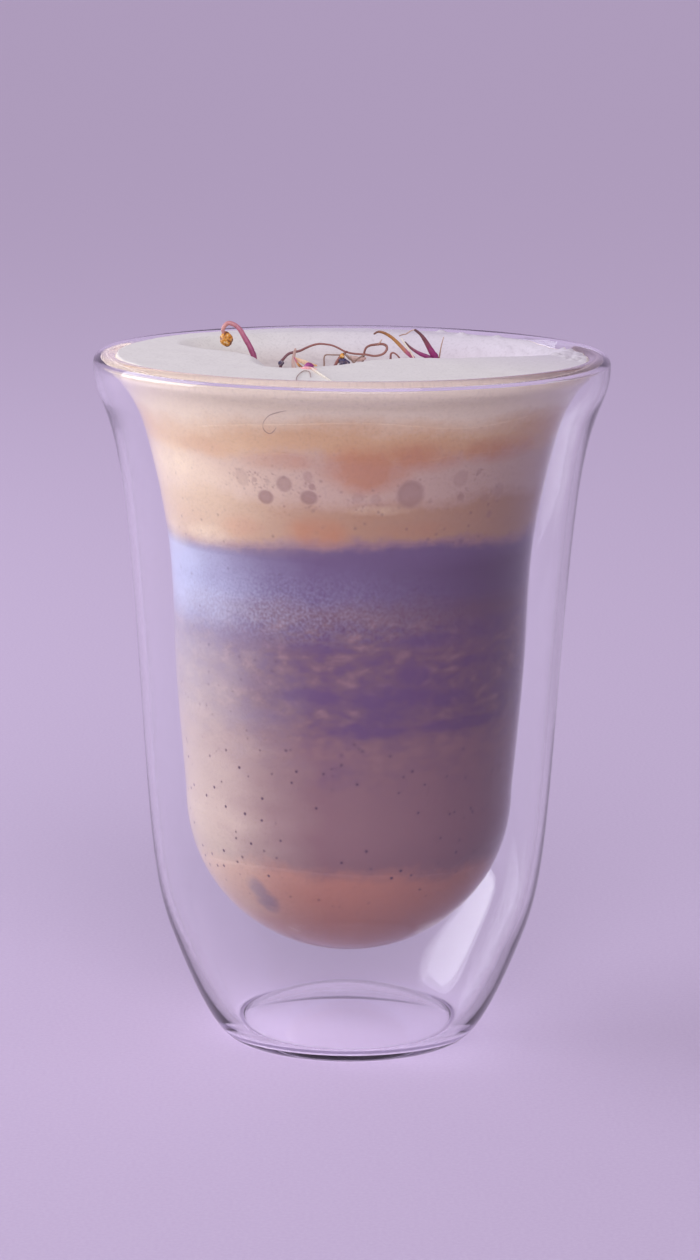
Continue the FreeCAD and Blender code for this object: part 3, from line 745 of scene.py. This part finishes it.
def make_drink():
    wall = Wall()
    undersides = {name: underside(name) for name in LAYERS[:-1]}
    around = np.radians(np.arange(0.0, 360.0, 10.0))
    means = {}
    for name, surface in undersides.items():
        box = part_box(name)
        radius = wall.radius_at(box[0].z / MM) - 1.0
        means[name] = float(surface(radius * np.sin(around), radius * np.cos(around)).mean())
    level = means["foam_top"] + FOAM_DEPTH
    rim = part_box("glass")[1].x / MM
    froth = coarse_froth()

    def top(x, y):
        return foam_surface(x, y, level, rim, froth)

    levels = [level] + [means[name] for name in LAYERS[:-1]]
    above = top
    bubbly = BUBBLES + small_bubbles()
    for number, name in enumerate(LAYERS):
        below = undersides.get(name)
        lower = means[name] if below else wall.heights[0]
        material = drink(SLOTS[name] + "_" + name, levels, 0.5)
        bubbles = bubbly if name in BUBBLY_LAYERS else ()
        make_layer(name, above, below, (lower, levels[number]), wall, material, bubbles)
        above = below
    return wall, level, top


# ------------------------------------------------------------------ the garnish

STRAND_SIDES = 14       # vertices round a strand
STRAND_STEPS = 8        # rings from one of its points to the next
STRAND_UNEVEN = 0.08    # how much its width varies

# Strands of the sprouts: name, slot, skin, half widths, how flat, and points to the
# right, to the back and up from the foam's edge.
STRANDS = [
    ("left_stem", "sprout_stem", "stem", (0.5, 0.52, 0.47, 0.42, 0.38, 0.3), 1.0,
     [(-17.2, 13.4, -6.0), (-17.4, 13.5, -2.1), (-17.8, 13.6, -0.9), (-18.15, 13.7, -0.1),
      (-18.6, 13.8, 0.7), (-19.2, 13.9, 1.7), (-19.85, 14.0, 2.8), (-20.7, 14.2, 3.6),
      (-21.9, 14.3, 4.0), (-22.65, 14.3, 3.5), (-22.95, 14.3, 2.7), (-22.7, 14.3, 1.9)]),
    ("right_stem", "sprout_stem", "magenta", (0.56, 0.6, 0.56, 0.44, 0.3, 0.2), 1.0,
     [(15.0, 14.6, -6.0), (14.8, 14.5, -2.0), (14.35, 14.4, -1.2), (13.7, 14.3, -0.1),
      (13.0, 14.1, 1.1), (12.15, 14.0, 2.25), (11.1, 13.9, 3.1)]),
    ("right_strand", "sprout_stem", "gold", (0.34, 0.36, 0.34, 0.28, 0.24, 0.14), 0.7,
     [(11.6, 14.2, -2.8), (10.7, 14.1, -1.8), (9.65, 14.0, -0.9), (8.6, 14.0, 0.2),
      (7.55, 13.9, 1.25), (6.5, 13.9, 2.05), (5.5, 13.8, 2.55), (4.6, 13.8, 2.7),
      (3.85, 13.7, 2.3)]),
    # A thin white strand along the gold one: a painted highlight.
    ("right_strand_side", "sprout_stem", "white", (0.1, 0.16, 0.16, 0.08), 0.6,
     [(11.0, 13.8, -2.0), (10.2, 13.7, -0.6), (9.3, 13.7, 0.7), (8.7, 13.7, 1.6)]),
    ("right_low_strand", "sprout_stem", "magenta", (0.42, 0.4, 0.3, 0.2, 0.12), 0.8,
     [(14.1, 14.2, -2.1), (13.3, 14.2, -1.7), (12.1, 14.1, -1.2), (10.9, 14.1, -0.5),
      (10.1, 14.1, 0.15), (9.4, 14.1, 0.9)]),
    ("tendril", "sprout_tendril", "brown", (0.3, 0.24, 0.2, 0.17, 0.17, 0.19, 0.24, 0.2, 0.2),
     1.0,
     [(-12.9, 14.0, -6.0), (-12.6, 14.0, -3.0), (-12.2, 14.0, -2.3), (-11.3, 14.1, -1.4),
      (-10.2, 14.1, -1.05), (-9.2, 14.1, -0.8), (-8.1, 14.0, -0.25), (-7.0, 14.0, 0.2),
      (-5.9, 13.9, 0.45), (-4.7, 13.9, 0.4), (-3.5, 13.8, 0.2), (-2.4, 13.7, -0.25),
      (-1.2, 13.6, -0.85), (0.3, 13.6, -1.2), (2.4, 13.7, -1.35), (4.0, 13.8, -1.6),
      (5.4, 13.9, -1.3), (6.1, 14.1, -0.6), (6.1, 14.3, 0.1), (5.4, 14.4, 0.45),
      (4.2, 14.5, 0.35), (3.0, 14.5, 0.1), (2.3, 14.4, -0.6), (1.9, 14.2, -2.7),
      (1.6, 14.1, -6.0)]),
    ("tendril_tip", "sprout_tendril", "pale", (0.16, 0.14, 0.06), 1.0,
     [(4.5, 14.4, 0.2), (4.9, 14.4, 0.7), (5.3, 14.4, 1.3)]),
    ("small_arch", "sprout_tendril", "brown", (0.22, 0.18, 0.14, 0.16), 1.0,
     [(6.8, 13.6, -2.9), (6.85, 13.6, -1.8), (6.9, 13.6, -1.2), (7.25, 13.6, -1.0),
      (7.8, 13.6, -1.25), (8.4, 13.6, -1.9), (8.8, 13.6, -2.9)]),
    ("pale_arch", "sprout_tendril", "pale", (0.08, 0.11, 0.12, 0.1), 1.0,
     [(8.3, 14.3, 1.9), (8.9, 14.4, 2.15), (9.6, 14.4, 2.3), (10.3, 14.3, 2.8),
      (11.1, 14.0, 3.15)]),
    ("pale_stalk", "sprout_tendril", "pale", (0.14, 0.11, 0.08), 1.0,
     [(15.4, 14.4, -2.6), (15.6, 14.4, -1.2), (15.75, 14.4, -0.2), (16.0, 14.4, 0.9),
      (16.25, 14.4, 1.8)]),
    ("squared_arch", "sprout_tendril", "grey", (0.16, 0.14, 0.13, 0.13), 1.0,
     [(-4.9, 13.6, -4.6), (-4.95, 13.6, -3.0), (-4.95, 13.6, -1.9), (-4.6, 13.6, -1.45),
      (-3.4, 13.6, -1.45), (-2.2, 13.6, -1.45)]),
    ("cross_strand", "sprout_tendril", "brown", (0.22, 0.3, 0.26, 0.18), 1.0,
     [(-3.4, 13.2, -4.4), (-3.0, 13.2, -3.3), (-2.5, 13.2, -2.4), (-2.0, 13.3, -1.7),
      (-1.5, 13.4, -1.25), (-0.9, 13.4, -0.8)]),
    ("cross_strand_low", "sprout_tendril", "grey", (0.14, 0.18, 0.16, 0.14), 1.0,
     [(-1.5, 13.2, -1.0), (-0.8, 13.2, -1.7), (0.0, 13.3, -2.4), (0.6, 13.4, -3.4)]),
    ("third_strand", "sprout_tendril", "grey", (0.12, 0.14, 0.12), 1.0,
     [(2.2, 13.6, -1.4), (1.0, 13.5, -2.1), (0.1, 13.5, -3.2)]),
    ("upright_band", "sprout_stem", "blush", (0.4, 0.36, 0.3, 0.2), 0.5,
     [(-10.0, 13.4, -5.2), (-10.4, 13.4, -3.2), (-10.35, 13.4, -1.8), (-10.05, 13.4, -0.4)]),
    ("upper_husk", "sprout_stem", "peach", (0.1, 0.3, 0.42, 0.3, 0.1), 0.35,
     [(-9.8, -20.0, 1.9), (-9.0, -20.1, 1.5), (-7.9, -20.4, 1.1), (-6.8, -20.8, 0.8),
      (-5.9, -21.2, 0.7)]),
    # A pinkish sheet on the foam right of the dark seed: painted shadow.
    ("middle_husk", "sprout_stem", "blush", (0.1, 0.4, 0.5, 0.4, 0.2), 0.4,
     [(-1.0, 13.7, -1.4), (-0.4, 13.7, -1.9), (0.5, 13.7, -2.1), (1.5, 13.7, -2.2),
      (2.4, 13.7, -2.0)]),
    ("side_husk", "sprout_stem", "gold", (0.06, 0.2, 0.24, 0.2), 0.5,
     [(-9.8, -20.3, 2.0), (-9.25, -20.6, 1.1), (-8.8, -20.9, 0.6), (-8.3, -21.4, 0.3)]),
]

# Strands that lie on the foam: their last numbers count up from its surface.
LYING = [
    ("pink_husk", "sprout_stem", "pink", (0.1, 0.34, 0.3, 0.1), 0.6,
     [(-8.6, -22.9, 0.05), (-7.8, -23.6, 0.12), (-6.9, -23.8, 0.12), (-5.9, -23.8, 0.05)]),
    ("white_sliver", "sprout_stem", "white", (0.1, 0.28, 0.3, 0.24, 0.08), 0.6,
     [(-6.9, -23.6, 0.25), (-6.3, -26.5, 0.22), (-5.5, -29.5, 0.2), (-4.4, -34.0, 0.2),
      (-3.3, -38.6, 0.2)]),
    ("fine_hair", "sprout_tendril", "grey", (0.06, 0.07, 0.07, 0.06), 1.0,
     [(-9.1, -38.0, 0.05), (-9.1, -33.5, 0.12), (-8.6, -29.5, 0.15), (-8.0, -27.0, 0.15),
      (-7.1, -28.0, 0.15), (-6.8, -33.0, 0.1)]),
]

# A hair in the foam, at the glass: azimuth and height.
HAIR = [(-16.0, 116.8), (-18.2, 116.4), (-20.5, 115.8), (-22.2, 114.8), (-23.0, 113.8),
        (-22.8, 112.9), (-21.6, 112.4), (-20.4, 112.8), (-19.5, 113.5)]
HAIR_WIDTHS = (0.03, 0.07, 0.04, 0.03, 0.07, 0.08, 0.04)

# Seed heads and blobs: name, skin, centre, half sizes, lean in degrees, lumpiness.
BLOBS = [
    ("seed_head", "seed", (-22.3, 14.3, 1.15), (1.15, 1.1, 1.3), -14.0, 0.2),
    ("dark_seed", "dark", (-1.45, 13.0, -2.75), (1.0, 0.7, 0.75), 20.0, 0.3),
    ("small_seed", "seed", (-1.75, 13.2, -1.6), (0.42, 0.4, 0.5), 10.0, 0.25),
    ("tendril_root", "dark", (-12.6, 13.8, -3.0), (0.55, 0.5, 0.45), 0.0, 0.3),
    ("magenta_seed", "purple", (-7.25, -21.8, 0.62), (0.8, 0.6, 0.68), 8.0, 0.15),
]


def curve_through(points, steps):
    """A smooth run through the points, as an array."""
    p = np.array([points[0]] + list(points) + [points[-1]], float)
    made = []
    for a, b, c, d in zip(p, p[1:], p[2:], p[3:]):
        for t in np.arange(steps) / steps:
            made.append(0.5 * (2 * b + (c - a) * t + (2 * a - 5 * b + 4 * c - d) * t ** 2
                               + (3 * b - a - 3 * c + d) * t ** 3))
    made.append(p[-1])
    return np.array(made)


def tube(name, points, widths, material, flat=1.0):
    """A strand along points. Its half width changes along it, and flat thins it."""
    line = curve_through(points, STRAND_STEPS)
    along = np.linspace(0.0, 1.0, len(line))
    width = np.interp(along, np.linspace(0.0, 1.0, len(widths)), widths)
    seed = sum(map(ord, name))
    width *= 1.0 + STRAND_UNEVEN * rough(along * 9.0, along * 0.0 + seed, 1.0, 0.0)
    ways = np.gradient(line, axis=0)
    ways /= np.linalg.norm(ways, axis=1)[:, None]
    side = np.cross(ways[0], (0.0, 1.0, 0.15))
    turns = np.linspace(0.0, 2.0 * math.pi, STRAND_SIDES, endpoint=False)
    rings = []
    for point, way, half in zip(line, ways, width):
        side = side - way * np.dot(side, way)
        side /= np.linalg.norm(side)
        other = np.cross(way, side)
        rings.append([point + half * (math.cos(t) * side + flat * math.sin(t) * other)
                      for t in turns])
    tip = line[-1] + ways[-1] * width[-1] * 0.6
    rings.append([tip + 0.35 * (np.array(p) - line[-1]) for p in rings[-1]])
    share = np.append(along, 1.0)[:, None] * np.ones(STRAND_SIDES)
    return grid_mesh(name, np.array(rings), material, {"along": share})


STRAND_COLOURS = {
    "stem": [rgb(146, 62, 104), rgb(160, 74, 116), rgb(178, 92, 130), rgb(196, 120, 142),
             rgb(214, 152, 152), rgb(192, 138, 134)],
    "magenta": [rgb(104, 24, 84), rgb(136, 26, 104), rgb(150, 38, 110), rgb(140, 66, 92),
                rgb(112, 66, 70), rgb(96, 58, 62)],
    "gold": [rgb(168, 62, 118), rgb(184, 92, 130), rgb(196, 140, 84), rgb(178, 118, 52),
             rgb(146, 96, 64), rgb(118, 74, 66)],
    "brown": [rgb(110, 72, 88), rgb(150, 92, 84), rgb(152, 98, 88), rgb(134, 82, 72)],
    "grey": [rgb(150, 122, 112), rgb(158, 128, 118)],
    "hair": [rgb(150, 118, 112), rgb(164, 132, 124)],
    "pale": [rgb(168, 128, 112), rgb(206, 176, 164)],
    "white": [rgb(242, 210, 196), rgb(246, 236, 222), rgb(246, 238, 228)],
    "blush": [rgb(206, 180, 172), rgb(208, 176, 170), rgb(196, 160, 154)],
    "peach": [rgb(226, 176, 140), rgb(238, 206, 178), rgb(226, 176, 120)],
    "pink": [rgb(232, 150, 166), rgb(240, 176, 182), rgb(244, 206, 200)],
}
# The last colours of seed and dark are painted highlights, scattered as patches.
SEED_COLOURS = {
    "seed": [rgb(66, 40, 48), rgb(118, 66, 40), rgb(206, 132, 36), rgb(222, 158, 60),
             rgb(236, 214, 186)],
    "dark": [rgb(44, 40, 78), rgb(62, 58, 96), rgb(96, 76, 88), rgb(190, 180, 196)],
    "purple": [rgb(104, 24, 92), rgb(138, 40, 118), rgb(172, 78, 146)],
}


def sprout(name):
    """A sprout's skin: its colours run along the strand, over fine lengthwise streaks."""
    s = Shader("sprout_" + name)
    colours = STRAND_COLOURS[name]
    along = s.attribute("along")
    patchy = s.noise(0.9, detail=3.0, offset=4.0)
    shifted = s.maths("ADD", along, s.swing(patchy, 0.3))
    colour = s.ramp(shifted, [(k / (len(colours) - 1), c) for k, c in enumerate(colours)])
    streaks = s.noise(0.22, stretch=(1.0, 1.0, 0.25), detail=2.0)
    colour = s.mix(s.ramp(streaks, [(0.3, 0.3), (0.6, 0.0)]), colour, rgb(98, 54, 62))
    normal = s.bump(streaks, 0.3, 0.05)
    return s.surface(colour, 0.35, normal)


def seed_skin(name):
    """A seed head's skin, in patches of a few colours, some of them painted highlights."""
    s = Shader("sprout_" + name)
    colours = SEED_COLOURS[name]
    patchy = s.noise(0.75, detail=3.0, roughness=0.6, offset=3.0)
    spread = s.maths("ADD", s.swing(patchy, 3.2), 0.5)
    colour = s.ramp(spread, [(k / (len(colours) - 1), c) for k, c in enumerate(colours)])
    return s.surface(colour, 0.4, s.bump(patchy, 0.5, 0.2))


def blob(name, centre, halves, lean, lumps, material):
    """A lumpy egg, leaning to the right."""
    sides, rows = 40, 26
    up = np.linspace(-0.5 * math.pi, 0.5 * math.pi, rows + 2)[1:-1, None]
    turn = np.linspace(0.0, 2.0 * math.pi, sides, endpoint=False)[None, :]
    unit = np.stack([np.cos(up) * np.sin(turn), -np.cos(up) * np.cos(turn),
                     np.sin(up) + 0.0 * turn], 2)
    bulge = rough(unit[..., 0] * 1.7 + sum(map(ord, name)),
                  unit[..., 1] * 1.7 + unit[..., 2] * 2.3, 1.0, 4.0)
    shape = unit * np.array(halves) * (1.0 + lumps * bulge[..., None])
    c, d = math.cos(math.radians(lean)), math.sin(math.radians(lean))
    shape = shape @ np.array([[c, 0, -d], [0, 1, 0], [d, 0, c]])
    rings = (shape + np.array(centre))[::-1]
    return grid_mesh(name, rings, material, {"along": 0.5 + 0.0 * rings[..., 0]})


def make_garnish(level, top, wall):
    """The sprouts: strands, seed heads and husks, and a hair in the foam."""
    skins = {name: sprout(name) for name in STRAND_COLOURS}
    skins.update({name: seed_skin(name) for name in SEED_COLOURS})
    stands_for = {"left_stem": "garnish_left", "right_stem": "garnish_right",
                  "tendril": "garnish_middle"}

    def on_foam(x, y):
        return float(top(np.array([x]), np.array([y]))[0])

    raised = [(entry, lambda x, y: level) for entry in STRANDS]
    raised += [(entry, on_foam) for entry in LYING]
    for (name, slot, skin, widths, flat, points), base in raised:
        route = [(x, y, z + base(x, y)) for x, y, z in points]
        piece = tube(name, route, widths, skins[skin], flat)
        nodes = [stands_for[name]] if name in stands_for else []
        finish_piece(piece, slot, *nodes)
    for name, skin, (x, y, z), halves, lean, lumps in BLOBS:
        piece = blob(name, (x, y, z + level), halves, lean, lumps, skins[skin])
        finish_piece(piece, "sprout_stem")
    route = []
    for azimuth, height in HAIR:
        turned, out = math.radians(azimuth), wall.radius_at(height) + REACH
        route.append((out * math.sin(turned), -out * math.cos(turned), height))
    finish_piece(tube("hair", route, HAIR_WIDTHS, skins["hair"]), "sprout_tendril")


# ------------------------------------------------------------------ light, floor, camera

def make_stage():
    """A wide floor of pale paper."""
    size = 14.0
    mesh = bpy.data.meshes.new("floor")
    corners = [(-size, -size, 0), (size, -size, 0), (size, size, 0), (-size, size, 0)]
    mesh.from_pydata(corners, [], [(0, 1, 2, 3)])
    s = Shader("paper")
    grain = s.noise(0.7, detail=3.0)
    colour = s.mix(s.ramp(grain, [(0.3, 0.0), (0.7, 1.0)]), rgb(204, 183, 221),
                   rgb(210, 191, 226))
    mesh.materials.append(s.surface(colour, 0.9, Specular_IOR_Level=0.1))
    floor = bpy.data.objects.new("floor", mesh)
    bpy.context.collection.objects.link(floor)


def make_world():
    """Even white light, which the camera, glass and gloss see as the pale backdrop."""
    world = bpy.data.worlds.new("studio")
    bpy.context.scene.world = world
    world.use_nodes = True
    nodes, links = world.node_tree.nodes, world.node_tree.links
    nodes.clear()
    light = nodes.new("ShaderNodeBackground")
    light.inputs[0].default_value = (1.0, 0.985, 1.0, 1.0)
    light.inputs[1].default_value = 0.42
    seen = nodes.new("ShaderNodeBackground")
    seen.inputs[0].default_value = rgb(198, 177, 215)
    seen.inputs[1].default_value = 1.0
    path = nodes.new("ShaderNodeLightPath")
    sees = path.outputs["Is Camera Ray"]
    for ray in ("Is Transmission Ray", "Is Glossy Ray"):
        either = nodes.new("ShaderNodeMath")
        either.operation = "MAXIMUM"
        links.new(sees, either.inputs[0])
        links.new(path.outputs[ray], either.inputs[1])
        sees = either.outputs[0]
    both = nodes.new("ShaderNodeMixShader")
    output = nodes.new("ShaderNodeOutputWorld")
    links.new(sees, both.inputs[0])
    links.new(light.outputs[0], both.inputs[1])
    links.new(seen.outputs[0], both.inputs[2])
    links.new(both.outputs[0], output.inputs[0])


def put_lamp(lamp, energy, colour, rotation, location=(0.0, 0.0, 0.0)):
    lamp.energy = energy
    lamp.color = colour
    made = bpy.data.objects.new(lamp.name, lamp)
    made.rotation_euler = rotation
    made.location = location
    bpy.context.collection.objects.link(made)


def make_lights():
    """A window at the left and a little behind, and a soft fill from the front."""
    window = bpy.data.lights.new("window", "AREA")
    window.shape = "RECTANGLE"
    window.size, window.size_y = 0.9, 0.62
    azimuth, elevation, distance = math.radians(-96.0), math.radians(17.0), 1.0
    way = Vector((math.sin(azimuth) * math.cos(elevation),
                  -math.cos(azimuth) * math.cos(elevation), math.sin(elevation)))
    middle = Vector((0.0, 0.0, 0.07))
    put_lamp(window, 7.4, (0.95, 0.985, 1.0), way.to_track_quat("Z", "Y").to_euler(),
             middle + way * distance)

    fill = bpy.data.lights.new("fill", "SUN")
    fill.angle = math.radians(50.0)
    put_lamp(fill, 1.45, (1.0, 0.98, 0.99), (math.radians(58.0), 0.0, math.radians(5.0)))


def make_camera():
    """The photo's view: from the front and a little above, with a slight roll."""
    down, roll = math.radians(10.67), math.radians(0.43)
    camera = bpy.data.cameras.new("camera")
    camera.sensor_width = 36.0
    camera.lens = 108.86
    made = bpy.data.objects.new("camera", camera)
    made.location = (0.0, -0.660, 0.197)
    ahead = Vector((0, math.cos(down), -math.sin(down)))
    made.rotation_mode = "QUATERNION"
    made.rotation_quaternion = (ahead.to_track_quat("-Z", "Y")
                                @ Quaternion((0, 0, 1), roll))
    bpy.context.collection.objects.link(made)
    bpy.context.scene.camera = made


# ------------------------------------------------------------------ the scene

bpy.ops.wm.read_factory_settings(use_empty=True)
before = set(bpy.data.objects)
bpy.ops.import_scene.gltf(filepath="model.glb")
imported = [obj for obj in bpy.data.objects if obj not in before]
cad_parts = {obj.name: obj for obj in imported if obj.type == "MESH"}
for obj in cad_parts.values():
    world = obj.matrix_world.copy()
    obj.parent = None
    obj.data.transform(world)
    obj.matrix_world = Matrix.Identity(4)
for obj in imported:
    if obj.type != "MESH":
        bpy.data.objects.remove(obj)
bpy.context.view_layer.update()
random.seed(11)
bpy.context.scene.view_settings.view_transform = "Standard"

wall, foam_level, foam_top = make_drink()
make_glass()
make_garnish(foam_level, foam_top, wall)
make_stage()
make_world()
make_lights()
make_camera()
